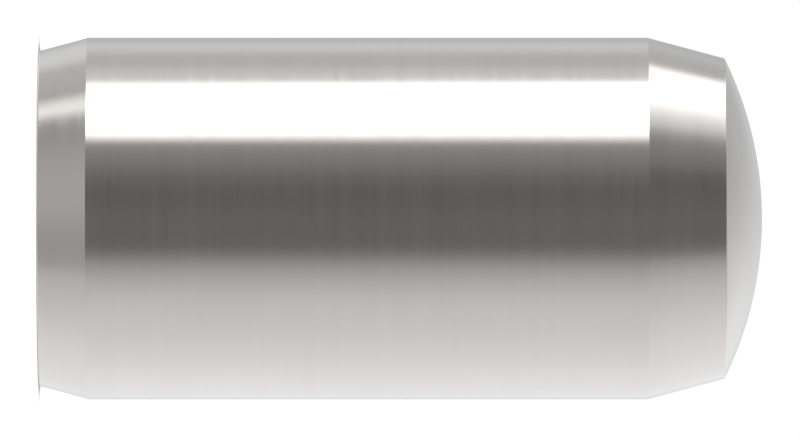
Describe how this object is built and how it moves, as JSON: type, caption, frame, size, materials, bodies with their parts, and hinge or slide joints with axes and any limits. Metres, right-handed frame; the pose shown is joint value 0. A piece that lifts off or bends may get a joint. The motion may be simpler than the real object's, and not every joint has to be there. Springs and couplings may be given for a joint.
{
  "type": "dowel pin",
  "caption": "Solid ground steel locating pin: a plain cylinder with a short chamfer round its flat end and a longer taper and a domed crown at its lead end.",
  "frame": {"origin": "centre of the flat end face, on the pin's axis, so the pin stands on the XY plane", "axes": "+Z along the pin's axis, from the flat end to the domed lead end; X and Y are any two directions across it, because the pin is round"},
  "size_m": [0.012, 0.012, 0.024],
  "materials": {
    "ground_steel": "hardened steel, bright: centreless ground shank, turned and polished ends"
  },
  "bodies": {
    "root": {"dowel_pin": "ground_steel"}
  },
  "joints": []
}
